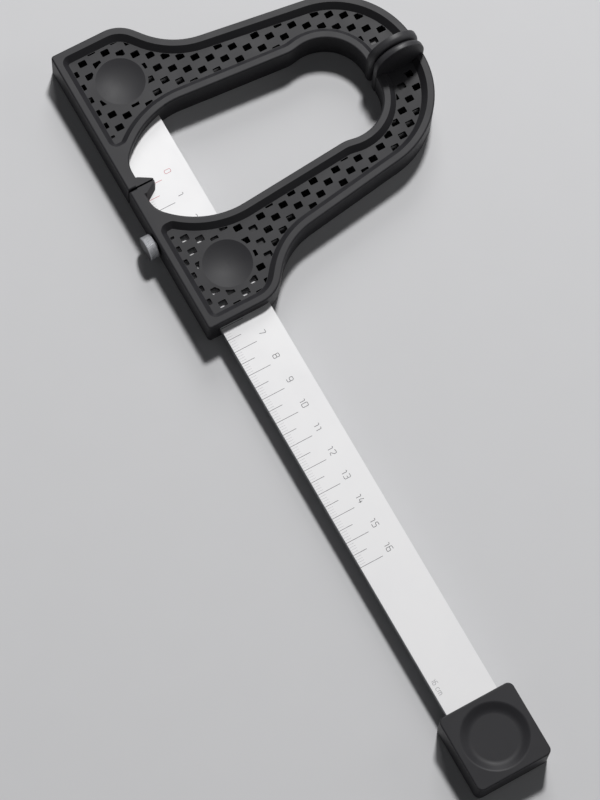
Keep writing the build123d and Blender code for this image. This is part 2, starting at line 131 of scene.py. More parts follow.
def makeMouldGrain():
    # spark-eroded mould texture: two sizes of noise, read on Object coordinates
    tree, given, result = newGroup(
        "mouldGrain", "ShaderNodeTree",
        [("Grain Size", "NodeSocketFloat", 0.3 * mm), ("Cloud Size", "NodeSocketFloat", 14 * mm)],
        [("Height", "NodeSocketFloat", None), ("Cloud", "NodeSocketFloat", None)])
    place = addNode(tree, "ShaderNodeTexCoord").outputs["Object"]
    perGrain = mathNode(tree, "DIVIDE", 1.0, given.outputs["Grain Size"])
    perCloud = mathNode(tree, "DIVIDE", 1.0, given.outputs["Cloud Size"])
    coarse = setInputs(addNode(tree, "ShaderNodeTexNoise"), Detail=3.0, Roughness=0.6)
    cells = addNode(tree, "ShaderNodeTexVoronoi", feature="SMOOTH_F1")
    setInputs(cells, Smoothness=0.6)
    cloud = setInputs(addNode(tree, "ShaderNodeTexNoise"), Detail=4.0, Roughness=0.55, Distortion=0.4)
    for texture, scale in ((coarse, perGrain), (cells, perGrain), (cloud, perCloud)):
        join(tree, place, texture.inputs["Vector"])
        join(tree, scale, texture.inputs["Scale"])
    both = mathNode(tree, "ADD", mathNode(tree, "MULTIPLY", coarse.outputs[0], 0.65),
                    mathNode(tree, "MULTIPLY", cells.outputs["Distance"], 0.5))
    join(tree, both, result.inputs["Height"])
    join(tree, rangeNode(tree, cloud.outputs[0], 0.35, 0.65, 0.0, 1.0), result.inputs["Cloud"])
    return tree


def makeEdgeRub():
    # edges rubbed by handling: where a bevelled normal leaves the real one, broken up by noise
    tree, given, result = newGroup(
        "edgeRub", "ShaderNodeTree",
        [("Radius", "NodeSocketFloat", 0.3 * mm), ("Breakup Size", "NodeSocketFloat", 5 * mm)],
        [("Rub", "NodeSocketFloat", None)])
    bevel = addNode(tree, "ShaderNodeBevel", samples=6)
    join(tree, given.outputs["Radius"], bevel.inputs["Radius"])
    plain = addNode(tree, "ShaderNodeNewGeometry")
    dot = addNode(tree, "ShaderNodeVectorMath", operation="DOT_PRODUCT")
    join(tree, bevel.outputs["Normal"], dot.inputs[0])
    join(tree, plain.outputs["Normal"], dot.inputs[1])
    edge = rangeNode(tree, dot.outputs["Value"], 0.99, 0.8, 0.0, 1.0)
    place = addNode(tree, "ShaderNodeTexCoord").outputs["Object"]
    noise = setInputs(addNode(tree, "ShaderNodeTexNoise"), Detail=5.0, Roughness=0.7)
    join(tree, place, noise.inputs["Vector"])
    join(tree, mathNode(tree, "DIVIDE", 1.0, given.outputs["Breakup Size"]), noise.inputs["Scale"])
    patch = rangeNode(tree, noise.outputs[0], 0.4, 0.62, 0.15, 1.0)
    join(tree, mathNode(tree, "MULTIPLY", edge, patch), result.inputs["Rub"])
    return tree


def makeToolLines():
    # fine lines left by drawing or turning: noise stretched along one direction
    tree, given, result = newGroup(
        "toolLines", "ShaderNodeTree",
        [("Across", "NodeSocketVector", (60.0, 9000.0, 9000.0)), ("Blotch Size", "NodeSocketFloat", 9 * mm)],
        [("Lines", "NodeSocketFloat", None), ("Blotch", "NodeSocketFloat", None)])
    place = addNode(tree, "ShaderNodeTexCoord").outputs["Object"]
    lines = setInputs(addNode(tree, "ShaderNodeTexNoise"), Scale=1.0, Detail=4.0, Roughness=0.65)
    join(tree, vectorNode(tree, "MULTIPLY", place, given.outputs["Across"]), lines.inputs["Vector"])
    blotch = setInputs(addNode(tree, "ShaderNodeTexNoise"), Detail=3.0, Roughness=0.6)
    join(tree, place, blotch.inputs["Vector"])
    join(tree, mathNode(tree, "DIVIDE", 1.0, given.outputs["Blotch Size"]), blotch.inputs["Scale"])
    join(tree, lines.outputs[0], result.inputs["Lines"])
    join(tree, rangeNode(tree, blotch.outputs[0], 0.35, 0.65, 0.0, 1.0), result.inputs["Blotch"])
    return tree


mouldGrain = makeMouldGrain()
edgeRub = makeEdgeRub()
toolLines = makeToolLines()


def startMaterial(name):
    material = bpy.data.materials.new(name)
    material.use_nodes = True
    return material, material.node_tree, material.node_tree.nodes["Principled BSDF"]


def placeGroup(tree, group, **values):
    node = addNode(tree, "ShaderNodeGroup", node_tree=group)
    return setInputs(node, **values)


def bumpFrom(tree, shader, height, strength, distance):
    bump = addNode(tree, "ShaderNodeBump")
    setInputs(bump, Strength=strength, Distance=distance)
    join(tree, height, bump.inputs["Height"])
    join(tree, bump.outputs["Normal"], shader.inputs["Normal"])


# finishes

jawFinish = {
    "colour": (0.0175, 0.0172, 0.0195, 1.0),
    "cloudColour": (0.0215, 0.0212, 0.0235, 1.0),
    "rubColour": (0.07, 0.07, 0.074, 1.0),
    "sheen": 0.18,
    "rubShare": 0.35,
    "roughLow": 0.46,
    "roughHigh": 0.52,
    "grainSize": 0.28 * mm,
    "grainDepth": 0.012 * mm,
    "seamHalf": 0.07 * mm,
    "seamDark": (0.012, 0.012, 0.013, 1.0),
    "seamDeep": 4.0,
    "rubPolish": 0.08,
    "bump": 0.5,
}
plateFinish = {**jawFinish, "roughLow": 0.40, "roughHigh": 0.48, "sheen": 0.34,
               "grainDepth": 0.006 * mm, "rubShare": 0.5}


def makeJawPlastic(name, values, seamHeight=None):
    material, tree, shader = startMaterial(name)
    grain = placeGroup(tree, mouldGrain, Grain_Size=values["grainSize"])
    rub = placeGroup(tree, edgeRub)
    colour = mixColour(tree, grain.outputs["Cloud"], values["colour"], values["cloudColour"])
    share = mathNode(tree, "MULTIPLY", rub.outputs["Rub"], values["rubShare"])
    colour = mixColour(tree, share, colour, values["rubColour"])
    height = grain.outputs["Height"]
    if seamHeight is not None:
        place = addNode(tree, "ShaderNodeTexCoord").outputs["Object"]
        split = addNode(tree, "ShaderNodeSeparateXYZ")
        join(tree, place, split.inputs[0])
        away = mathNode(tree, "ABSOLUTE", mathNode(tree, "SUBTRACT", split.outputs["Z"], seamHeight))
        seam = rangeNode(tree, away, 0.0, values["seamHalf"], 1.0, 0.0, smooth=True)
        colour = mixColour(tree, seam, colour, values["seamDark"])
        groove = mathNode(tree, "MULTIPLY", seam, values["seamDeep"])
        height = mathNode(tree, "SUBTRACT", height, groove)
    join(tree, colour, shader.inputs["Base Color"])
    rough = rangeNode(tree, grain.outputs["Cloud"], 0.0, 1.0, values["roughLow"], values["roughHigh"])
    polish = mathNode(tree, "MULTIPLY", rub.outputs["Rub"], values["rubPolish"])
    rough = mathNode(tree, "SUBTRACT", rough, polish)
    join(tree, rough, shader.inputs["Roughness"])
    shader.inputs["Specular IOR Level"].default_value = values["sheen"]
    bumpFrom(tree, shader, height, values["bump"], values["grainDepth"])
    return material


faceFinish = {
    "colour": (0.80, 0.795, 0.80, 1.0),
    "cloudColour": (0.765, 0.76, 0.77, 1.0),
    "roughLow": 0.36,
    "roughHigh": 0.46,
    "grainSize": 0.5 * mm,
    "cloudSize": 30 * mm,
    "grainDepth": 0.003 * mm,
    "bump": 0.4,
}


def makeScaleWhite(values):
    material, tree, shader = startMaterial("scaleWhite")
    grain = placeGroup(tree, mouldGrain, Grain_Size=values["grainSize"], Cloud_Size=values["cloudSize"])
    colour = mixColour(tree, grain.outputs["Cloud"], values["colour"], values["cloudColour"])
    join(tree, colour, shader.inputs["Base Color"])
    rough = rangeNode(tree, grain.outputs["Cloud"], 0.0, 1.0, values["roughLow"], values["roughHigh"])
    join(tree, rough, shader.inputs["Roughness"])
    bumpFrom(tree, shader, grain.outputs["Height"], values["bump"], values["grainDepth"])
    return material


inkFinish = {
    "dark": (0.10, 0.10, 0.105, 1.0),
    "light": (0.33, 0.33, 0.34, 1.0),
    "red": (0.46, 0.13, 0.145, 1.0),
    "grainSize": 0.12 * mm,
    "cloudSize": 6 * mm,
    "palerFactor": 1.35,
    "palerLift": 0.01,
    "rough": (0.5, 0.62),
}


def makeInk(name, colour):
    material, tree, shader = startMaterial(name)
    grain = placeGroup(tree, mouldGrain, Grain_Size=inkFinish["grainSize"],
                       Cloud_Size=inkFinish["cloudSize"])
    paler = palerThan(colour, inkFinish["palerFactor"], inkFinish["palerLift"])
    join(tree, mixColour(tree, grain.outputs["Cloud"], colour, paler), shader.inputs["Base Color"])
    low, high = inkFinish["rough"]
    join(tree, rangeNode(tree, grain.outputs["Height"], 0.2, 0.9, low, high), shader.inputs["Roughness"])
    return material


metalFinishes = {
    "ruleAluminium": {"colour": (0.45, 0.455, 0.47, 1.0), "worn": (0.58, 0.585, 0.595, 1.0),
                      "across": (60.0, 9000.0, 9000.0), "rough": (0.30, 0.45), "depth": 0.004 * mm},
    "knobMetal": {"colour": (0.33, 0.335, 0.35, 1.0), "worn": (0.50, 0.505, 0.52, 1.0),
                  "across": (900.0, 9000.0, 900.0), "rough": (0.42, 0.54), "depth": 0.003 * mm,
                  # the knob's flat end faces get this painted shade colour
                  "endShadeColour": (0.07, 0.07, 0.075, 1.0)},
    "screwSteel": {"colour": (0.50, 0.50, 0.52, 1.0), "worn": (0.66, 0.66, 0.67, 1.0),
                   "across": (2500.0, 2500.0, 2500.0), "rough": (0.28, 0.44), "depth": 0.004 * mm},
    "springSteel": {"colour": (0.42, 0.42, 0.45, 1.0), "worn": (0.60, 0.60, 0.62, 1.0),
                    "across": (120.0, 8000.0, 8000.0), "rough": (0.22, 0.34), "depth": 0.003 * mm},
    "lockBrass": {"colour": (0.72, 0.53, 0.26, 1.0), "worn": (0.82, 0.66, 0.40, 1.0),
                  "across": (7000.0, 500.0, 7000.0), "rough": (0.26, 0.40), "depth": 0.003 * mm},
}


# edges rubbed bright, and painted shade on the knob's flat end faces: its mask as the cosine between its
# start and its full strength
metalWearAndEndShade = {
    "rubRadius": 0.15 * mm,
    "rubBreakup": 2 * mm,
    "endShadeMask": (0.85, 0.97),
    "bump": 0.5,
}


def makeMetal(name, values):
    material, tree, shader = startMaterial(name)
    shader.inputs["Metallic"].default_value = 1.0
    lines = placeGroup(tree, toolLines, Across=values["across"])
    rub = placeGroup(tree, edgeRub, Radius=metalWearAndEndShade["rubRadius"], Breakup_Size=metalWearAndEndShade["rubBreakup"])
    tone = mathNode(tree, "MULTIPLY", lines.outputs["Blotch"], 0.5)
    tone = mathNode(tree, "ADD", tone, mathNode(tree, "MULTIPLY", rub.outputs["Rub"], 0.5), clamp=True)
    colour = mixColour(tree, tone, values["colour"], values["worn"])
    if "endShadeColour" in values:
        # painted shade: the flat end faces across the Y axis are coloured darker, as if they lay in shadow
        facing = addNode(tree, "ShaderNodeSeparateXYZ")
        join(tree, addNode(tree, "ShaderNodeTexCoord").outputs["Normal"], facing.inputs[0])
        maskLow, maskHigh = metalWearAndEndShade["endShadeMask"]
        end = rangeNode(tree, mathNode(tree, "ABSOLUTE", facing.outputs["Y"]), maskLow, maskHigh, 0.0, 1.0)
        colour = mixColour(tree, end, colour, values["endShadeColour"])
    join(tree, colour, shader.inputs["Base Color"])
    low, high = values["rough"]
    join(tree, rangeNode(tree, lines.outputs["Lines"], 0.3, 0.7, low, high), shader.inputs["Roughness"])
    bumpFrom(tree, shader, lines.outputs["Lines"], metalWearAndEndShade["bump"], values["depth"])
    return material


# the two shells of a jaw meet at this height
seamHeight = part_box("sliding_jaw_back_shell")[1].z
jawPlastic = makeJawPlastic("jawPlastic", jawFinish, seamHeight)
stopPlastic = makeJawPlastic("stopPlastic", jawFinish)
platePlastic = makeJawPlastic("platePlastic", plateFinish)
scaleWhite = makeScaleWhite(faceFinish)
darkInk = makeInk("darkInk", inkFinish["dark"])
lightInk = makeInk("lightInk", inkFinish["light"])
redInk = makeInk("redInk", inkFinish["red"])
metals = {name: makeMetal(name, values) for name, values in metalFinishes.items()}

nodeFinish = {
    "fixed_jaw_front_shell": jawPlastic,
    "fixed_jaw_back_shell": jawPlastic,
    "sliding_jaw_front_shell": jawPlastic,
    "sliding_jaw_back_shell": jawPlastic,
    "end_stop": stopPlastic,
    "fixed_contact_plate": platePlastic,
    "sliding_contact_plate": platePlastic,
    "rule_bar": metals["ruleAluminium"],
    "scale_face": scaleWhite,
    "fixed_case_screws": metals["screwSteel"],
    "fixed_arm_screws": metals["screwSteel"],
    "sliding_case_screws": metals["screwSteel"],
    "sliding_arm_screws": metals["screwSteel"],
    "rule_screws": metals["screwSteel"],
    "play_spring": metals["springSteel"],
    "lock_insert": metals["lockBrass"],
    "lock_pad": metals["lockBrass"],
    "lock_stud": metals["screwSteel"],
    "lock_knob": metals["knobMetal"],
}
for nodeName, material in nodeFinish.items():
    for slot in nodes[nodeName].material_slots:
        slot.material = material
print("finishes set on", len(nodeFinish), "nodes")


# geometry node helpers

def finishTree(tree, result, geometry, material):
    solid = addNode(tree, "GeometryNodeRealizeInstances")
    join(tree, geometry, solid.inputs[0])
    paint = addNode(tree, "GeometryNodeSetMaterial")
    join(tree, solid.outputs[0], paint.inputs["Geometry"])
    join(tree, material, paint.inputs["Material"])
    join(tree, paint.outputs[0], result.inputs["Geometry"])


def runTree(name, tree, mesh, values):
    # puts the tree on the mesh, sets its inputs by identifier and keeps the result as a plain mesh
    carrier = addObject(name + "Carrier", mesh)
    modifier = carrier.modifiers.new("make", "NODES")
    modifier.node_group = tree
    for item in tree.interface.items_tree:
        if item.in_out == "INPUT" and item.name in values:
            modifier[item.identifier] = values[item.name]
    bpy.context.view_layer.update()
    evaluated = carrier.evaluated_get(bpy.context.evaluated_depsgraph_get())
    made = bpy.data.meshes.new_from_object(evaluated)
    made.name = name
    carrier.modifiers.remove(modifier)
    bpy.data.objects.remove(carrier)
    return addObject(name, made)


def pointMesh(name, points, edges=()):
    mesh = bpy.data.meshes.new(name)
    mesh.from_pydata([tuple(point) for point in points], list(edges), [])
    return mesh


# scale: lines

scaleValues = {
    "pitch": 1.0 * mm,
    "marks": 161,
    "redMarks": 6,
    "longLine": 8.9 * mm,
    "halfLine": 5.3 * mm,
    "shortLine": 2.5 * mm,
    "lineWidth": 0.19 * mm,
    "shortWidth": 0.09 * mm,
    "inkHeight": 0.012 * mm,
    "inkSunk": 0.004 * mm,
}


def makeLineTree():
    tree, given, result = newGroup(
        "scaleLines", "GeometryNodeTree",
        [("Geometry", "NodeSocketGeometry", None), ("First Mark", "NodeSocketInt", 0),
         ("Marks", "NodeSocketInt", 10), ("Pitch", "NodeSocketFloat", mm),
         ("Long Line", "NodeSocketFloat", 9 * mm),
         ("Half Line", "NodeSocketFloat", 5 * mm), ("Short Line", "NodeSocketFloat", 2 * mm),
         ("Line Width", "NodeSocketFloat", 0.2 * mm), ("Short Width", "NodeSocketFloat", 0.1 * mm),
         ("Ink Height", "NodeSocketFloat", 0.01 * mm), ("Start", "NodeSocketVector", (0, 0, 0)),
         ("Only Short", "NodeSocketBool", False), ("Ink", "NodeSocketMaterial", None)],
        [("Geometry", "NodeSocketGeometry", None)])
    step = addNode(tree, "ShaderNodeCombineXYZ")
    join(tree, given.outputs["Pitch"], step.inputs["X"])
    firstPlace = addNode(tree, "ShaderNodeVectorMath", operation="SCALE")
    join(tree, step.outputs[0], firstPlace.inputs[0])
    join(tree, given.outputs["First Mark"], firstPlace.inputs["Scale"])
    row = addNode(tree, "GeometryNodeMeshLine", mode="OFFSET")
    join(tree, given.outputs["Marks"], row.inputs["Count"])
    start = vectorNode(tree, "ADD", firstPlace.outputs[0], given.outputs["Start"])
    join(tree, start, row.inputs["Start Location"])
    join(tree, step.outputs[0], row.inputs["Offset"])
    index = addNode(tree, "GeometryNodeInputIndex").outputs[0]
    number = mathNode(tree, "ADD", index, given.outputs["First Mark"])

    def every(count):
        rest = mathNode(tree, "MODULO", number, float(count))
        return mathNode(tree, "LESS_THAN", rest, 0.5)

    def choose(flag, yes, no):
        node = addNode(tree, "GeometryNodeSwitch", input_type="FLOAT")
        join(tree, flag, node.inputs["Switch"])
        join(tree, no, node.inputs["False"])
        join(tree, yes, node.inputs["True"])
        return node.outputs[0]

    tenth, fifth = every(10), every(5)
    length = choose(tenth, given.outputs["Long Line"],
                    choose(fifth, given.outputs["Half Line"], given.outputs["Short Line"]))
    width = choose(fifth, given.outputs["Line Width"], given.outputs["Short Width"])
    size = addNode(tree, "ShaderNodeCombineXYZ")
    join(tree, width, size.inputs["X"])
    join(tree, length, size.inputs["Y"])
    join(tree, given.outputs["Ink Height"], size.inputs["Z"])
    bar = addNode(tree, "GeometryNodeMeshCube")
    bar.inputs["Size"].default_value = (1, 1, 1)
    shifted = addNode(tree, "GeometryNodeTransform")
    join(tree, bar.outputs["Mesh"], shifted.inputs["Geometry"])
    shifted.inputs["Translation"].default_value = (0, 0.5, 0.5)
    copies = addNode(tree, "GeometryNodeInstanceOnPoints")
    join(tree, row.outputs["Mesh"], copies.inputs["Points"])
    join(tree, shifted.outputs[0], copies.inputs["Instance"])
    join(tree, size.outputs[0], copies.inputs["Scale"])
    wanted = mathNode(tree, "ABSOLUTE", mathNode(tree, "SUBTRACT", fifth, given.outputs["Only Short"]))
    join(tree, wanted, copies.inputs["Selection"])
    finishTree(tree, result, copies.outputs["Instances"], given.outputs["Ink"])
    return tree


faceLow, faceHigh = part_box("scale_face")
readingEdge = faceLow.y
inkLevel = faceHigh.z - scaleValues["inkSunk"]
inkDeep = scaleValues["inkHeight"] + scaleValues["inkSunk"]
lineTree = makeLineTree()
lineSizes = {
    "Pitch": scaleValues["pitch"],
    "Long Line": scaleValues["longLine"],
    "Half Line": scaleValues["halfLine"],
    "Short Line": scaleValues["shortLine"],
    "Line Width": scaleValues["lineWidth"],
    "Short Width": scaleValues["shortWidth"],
    "Ink Height": inkDeep,
    "Start": (0.0, readingEdge, inkLevel),
}
redMarks, allMarks = scaleValues["redMarks"], scaleValues["marks"]
lineSets = [
    ("scaleLinesRed", 0, redMarks, False, redInk),
    ("scaleLines", redMarks, allMarks - redMarks, False, darkInk),
    ("scaleLinesShort", 0, allMarks, True, lightInk),
]
for name, first, count, onlyShort, ink in lineSets:
    piece = runTree(name, lineTree, pointMesh(name + "Seed", [(0, 0, 0)]),
                    {**lineSizes, "First Mark": first, "Marks": count, "Only Short": onlyShort, "Ink": ink})
    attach(piece, "frame")
print("scale lines drawn")


# scale: numbers

# pen strokes on a grid 1 wide and 2 high; a stroke that ends where it starts is closed
penStrokes = {
    "0": [[(0, 0), (1, 0), (1, 2), (0, 2), (0, 0)]],
    "1": [[(0.1, 1.6), (0.6, 2), (0.6, 0)]],
    "2": [[(0.05, 1.7), (0.05, 2), (1, 2), (1, 1.2), (0, 0), (1.05, 0)]],
    "3": [[(0, 2), (1, 2), (1, 1.05), (0.35, 1.05)], [(0.9, 1.05), (1, 1.0), (1, 0), (0, 0)]],
    "4": [[(0.4, 2), (0, 0.55), (1.05, 0.55)], [(0.75, 1.2), (0.75, 0)]],
    "5": [[(1, 2), (0.1, 2), (0.1, 1.15), (1, 1.15), (1, 0), (0, 0)]],
    "6": [[(0.9, 2), (0, 2), (0, 0), (1, 0), (1, 1.15), (0, 1.15)]],
    "7": [[(0, 2), (1, 2), (0.4, 0)]],
    "8": [[(0, 1.05), (0, 2), (1, 2), (1, 1.05), (0, 1.05)],
          [(0, 0), (1, 0), (1, 1.05), (0, 1.05), (0, 0)]],
    "9": [[(1, 0.9), (0, 0.9), (0, 2), (1, 2), (1, 0), (0.1, 0)]],
    "c": [[(0.9, 1.35), (0, 1.35), (0, 0), (0.9, 0)]],
    "m": [[(0, 0), (0, 1.35), (0.8, 1.35), (0.8, 0)], [(0.75, 1.35), (1.6, 1.35), (1.6, 0)]],
    " ": [],
}
glyphWidths = {"1": 0.7, "m": 1.6, " ": 0.6, "c": 0.95}
numberValues = {
    "height": 2.35 * mm,
    "width": 1.35 * mm,
    "gap": 0.7 * mm,
    "stroke": 0.21 * mm,
    "redStroke": 0.17 * mm,
    "cornerRound": 0.36 * mm,
    "beforeLine": 2.0 * mm,
    "middleAcross": 12.3 * mm,
    "marksPerNumber": 10,
    "lastNumber": 16,
    "redNumbers": 1,
    "rangeHeight": 1.9 * mm,
    "rangeWidth": 0.9 * mm,
    "rangeGap": 0.38 * mm,
    "rangeStroke": 0.85,
    "rangeMiddle": (209.5 * mm, 2.15 * mm),
}


def penLines(text, centre, height, width, gap):
    # the strokes of a word, centred, as points and edges on the scale
    total = sum(glyphWidths.get(glyph, 1.0) * width for glyph in text) + gap * (len(text) - 1)
    points, edges, left = [], [], centre[0] - total / 2
    for glyph in text:
        for stroke in penStrokes[glyph]:
            closed = stroke[0] == stroke[-1]
            corners = stroke[:-1] if closed else stroke
            if closed:  # start half way along a side, so that all its corners are rounded
                ax, ay = corners[0]
                bx, by = corners[1]
                corners = [((ax + bx) / 2, (ay + by) / 2)] + corners[1:] + [corners[0]]
            start = len(points)
            for gx, gy in corners:
                points.append((left + gx * width, centre[1] + (gy / 2 - 0.5) * height, centre[2]))
            edges += [(start + k, start + k + 1) for k in range(len(corners) - 1)]
            if closed:
                edges.append((start + len(corners) - 1, start))
        left += glyphWidths.get(glyph, 1.0) * width + gap
    return points, edges


def makePenTree():
    tree, given, result = newGroup(
        "penStroke", "GeometryNodeTree",
        [("Geometry", "NodeSocketGeometry", None), ("Stroke", "NodeSocketFloat", 0.2 * mm),
         ("Corner Round", "NodeSocketFloat", 0.4 * mm), ("Ink Height", "NodeSocketFloat", 0.01 * mm),
         ("Ink", "NodeSocketMaterial", None)],
        [("Geometry", "NodeSocketGeometry", None)])
    lines = addNode(tree, "GeometryNodeMeshToCurve")
    join(tree, given.outputs["Geometry"], lines.inputs["Mesh"])
    rounded = addNode(tree, "GeometryNodeFilletCurve")
    rounded.mode = "POLY"
    join(tree, lines.outputs[0], rounded.inputs["Curve"])
    rounded.inputs["Count"].default_value = 4
    join(tree, given.outputs["Corner Round"], rounded.inputs["Radius"])
    rounded.inputs["Limit Radius"].default_value = True
    up = addNode(tree, "GeometryNodeSetCurveNormal")
    up.mode = "Z_UP"
    join(tree, rounded.outputs[0], up.inputs["Curve"])
    nib = addNode(tree, "GeometryNodeCurvePrimitiveQuadrilateral")
    join(tree, given.outputs["Stroke"], nib.inputs["Width"])
    join(tree, given.outputs["Ink Height"], nib.inputs["Height"])
    ribbon = addNode(tree, "GeometryNodeCurveToMesh")
    join(tree, up.outputs[0], ribbon.inputs["Curve"])
    join(tree, nib.outputs[0], ribbon.inputs["Profile Curve"])
    ribbon.inputs["Fill Caps"].default_value = True
    finishTree(tree, result, ribbon.outputs[0], given.outputs["Ink"])
    return tree


penTree = makePenTree()


def writeWords(name, words, ink, stroke):
    points, edges = [], []
    for text, centre, height, width, gap in words:
        more, links = penLines(text, centre, height, width, gap)
        edges += [(a + len(points), b + len(points)) for a, b in links]
        points += more
    piece = runTree(name, penTree, pointMesh(name + "Seed", points, edges),
                    {"Stroke": stroke, "Corner Round": numberValues["cornerRound"],
                     "Ink Height": inkDeep, "Ink": ink})
    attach(piece, "frame")


penLevel = faceHigh.z + (scaleValues["inkHeight"] - scaleValues["inkSunk"]) / 2
numbers = []
for k in range(numberValues["lastNumber"] + 1):
    centre = (numberValues["marksPerNumber"] * k * mm - numberValues["beforeLine"],
              readingEdge + numberValues["middleAcross"], penLevel)
    numbers.append((str(k), centre, numberValues["height"], numberValues["width"], numberValues["gap"]))
redCount = numberValues["redNumbers"]
writeWords("scaleNumbersRed", numbers[:redCount], redInk, numberValues["redStroke"])
writeWords("scaleNumbers", numbers[redCount:], darkInk, numberValues["stroke"])
rangeX, rangeY = numberValues["rangeMiddle"]
rangeWord = ("16 cm", (rangeX, readingEdge + rangeY, penLevel), numberValues["rangeHeight"],
             numberValues["rangeWidth"], numberValues["rangeGap"])
writeWords("rangeLabel", [rangeWord], lightInk, numberValues["stroke"] * numberValues["rangeStroke"])
print("scale numbers drawn")


# contact plates

# edges of the plates: crisp outside, wide towards the other plate; the sliding one leans in above the jaw
plateValues = {
    "wasRound": 1.3 * mm,
    "outerRound": 0.4 * mm,
    "innerRound": 2.0 * mm,
    "fixedLean": 0.0,
    "slidingLean": 0.7 * mm,
    "edgeSlack": 0.1 * mm,
    "footSlack": 0.05 * mm,
    "weld": 0.001 * mm,
    "sharpAngle": 0.6,
}


def contactPlate(name, nodeName, body, outward, lean):
    low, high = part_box(nodeName)
    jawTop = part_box("sliding_jaw_front_shell")[1].z
    middle = (low.y + high.y) / 2
    half = (high.y - low.y) / 2
    archLevel = high.z - half
    contact = min(abs(low.x), abs(high.x))
    was = plateValues["wasRound"]
    made = bmesh.new()
    made.from_mesh(nodes[nodeName].data)
    bmesh.ops.remove_doubles(made, verts=made.verts, dist=plateValues["weld"])
    # the plate ends where most of its round edge lies; the tenon goes on from there
    rim = [abs(v.co.x) for v in made.verts if v.co.z > archLevel]
    back = max(rim)
    rounds = ((back, plateValues["outerRound"], -1), (contact, plateValues["innerRound"], 1))
    for v in made.verts:
        out, y, z = abs(v.co.x), v.co.y, v.co.z
        aside = math.hypot(y - middle, max(0.0, z - archLevel))
        nearEdge = aside > half - was - plateValues["edgeSlack"]
        nearFoot = z < was + plateValues["footSlack"] and out < contact + was
        for face, new, sign in rounds:
            deep = was - sign * (out - face)
            if deep <= 0 or not (nearEdge or nearFoot):
                continue
            turn = math.asin(min(1.0, deep / was))
            moved = (new - was) * (1 - math.cos(turn))
            if nearEdge:
                y -= (y - middle) / aside * moved
                z -= max(0.0, z - archLevel) / aside * moved
            if nearFoot and sign > 0:
                z += moved
            out = face + sign * new * (1 - math.sin(turn))
        if z > jawTop and out > contact:
            share = (out - contact) / (back - contact)
            out -= lean * share * (z - jawTop) / (high.z - jawTop)
        v.co = (outward * out, y, z)
    bmesh.ops.recalc_face_normals(made, faces=made.faces)
    mesh = bpy.data.meshes.new(name)
    made.to_mesh(mesh)
    made.free()
    mesh.shade_smooth()
    mesh.set_sharp_from_angle(angle=plateValues["sharpAngle"])
    mesh.materials.clear()
    mesh.materials.append(platePlastic)
    piece = addObject(name, mesh)
    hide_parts(nodeName)
    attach(piece, body)


contactPlate("fixedPlate", "fixed_contact_plate", "frame", -1, plateValues["fixedLean"])
contactPlate("slidingPlate", "sliding_contact_plate", "sliding_jaw", 1, plateValues["slidingLean"])
print("contact plates made")


# lock: knurled knob and threaded stud

def makeRidgeTree():
    # a tube of rings whose skin carries helical ridges, faded out towards both ends
    tree, given, result = newGroup(
        "helicalRidges", "GeometryNodeTree",
        [("Geometry", "NodeSocketGeometry", None), ("Around", "NodeSocketInt", 96),
         ("Rings", "NodeSocketInt", 12), ("Radius", "NodeSocketFloat", 4 * mm),
         ("Length", "NodeSocketFloat", 3 * mm),
         ("Ridges", "NodeSocketFloat", 40.0), ("Lead", "NodeSocketFloat", 1.0 * mm),
         ("Depth", "NodeSocketFloat", 0.2 * mm), ("Chamfer", "NodeSocketFloat", 0.3 * mm),
         ("Centre", "NodeSocketVector", (0, 0, 0)), ("Finish", "NodeSocketMaterial", None)],
        [("Geometry", "NodeSocketGeometry", None)])
    sheet = addNode(tree, "GeometryNodeMeshCylinder", fill_type="NGON")
    join(tree, given.outputs["Around"], sheet.inputs["Vertices"])
    join(tree, given.outputs["Rings"], sheet.inputs["Side Segments"])
    join(tree, given.outputs["Radius"], sheet.inputs["Radius"])
    join(tree, given.outputs["Length"], sheet.inputs["Depth"])
    place = addNode(tree, "GeometryNodeInputPosition").outputs[0]
    split = addNode(tree, "ShaderNodeSeparateXYZ")
    join(tree, place, split.inputs[0])
    angle = mathNode(tree, "ARCTAN2", split.outputs["Y"], split.outputs["X"])
    turn = mathNode(tree, "DIVIDE", angle, 2 * math.pi)
    climb = mathNode(tree, "DIVIDE", split.outputs["Z"], given.outputs["Lead"])
    phase = mathNode(tree, "ADD", mathNode(tree, "MULTIPLY", turn, given.outputs["Ridges"]), climb)
    wave = mathNode(tree, "MULTIPLY", mathNode(tree, "PINGPONG", phase, 0.5), 2.0)
    toEnd = mathNode(tree, "SUBTRACT", mathNode(tree, "DIVIDE", given.outputs["Length"], 2.0),
                     mathNode(tree, "ABSOLUTE", split.outputs["Z"]))
    fade = rangeNode(tree, toEnd, 0.0, given.outputs["Chamfer"], 0.0, 1.0)
    cut = mathNode(tree, "MULTIPLY", mathNode(tree, "MULTIPLY", wave, given.outputs["Depth"]), fade)
    bevel = mathNode(tree, "MULTIPLY", mathNode(tree, "SUBTRACT", 1.0, fade), given.outputs["Chamfer"])
    radius = mathNode(tree, "SUBTRACT", mathNode(tree, "SUBTRACT", given.outputs["Radius"], cut), bevel)
    share = mathNode(tree, "DIVIDE", radius, given.outputs["Radius"])
    scaled = addNode(tree, "ShaderNodeCombineXYZ")
    join(tree, mathNode(tree, "MULTIPLY", split.outputs["X"], share), scaled.inputs["X"])
    join(tree, mathNode(tree, "MULTIPLY", split.outputs["Y"], share), scaled.inputs["Y"])
    join(tree, split.outputs["Z"], scaled.inputs["Z"])
    shaped = addNode(tree, "GeometryNodeSetPosition")
    join(tree, sheet.outputs["Mesh"], shaped.inputs["Geometry"])
    join(tree, scaled.outputs[0], shaped.inputs["Position"])
    laid = addNode(tree, "GeometryNodeTransform")
    join(tree, shaped.outputs[0], laid.inputs["Geometry"])
    laid.inputs["Rotation"].default_value = (math.radians(90), 0, 0)
    join(tree, given.outputs["Centre"], laid.inputs["Translation"])
    finishTree(tree, result, laid.outputs[0], given.outputs["Finish"])
    return tree


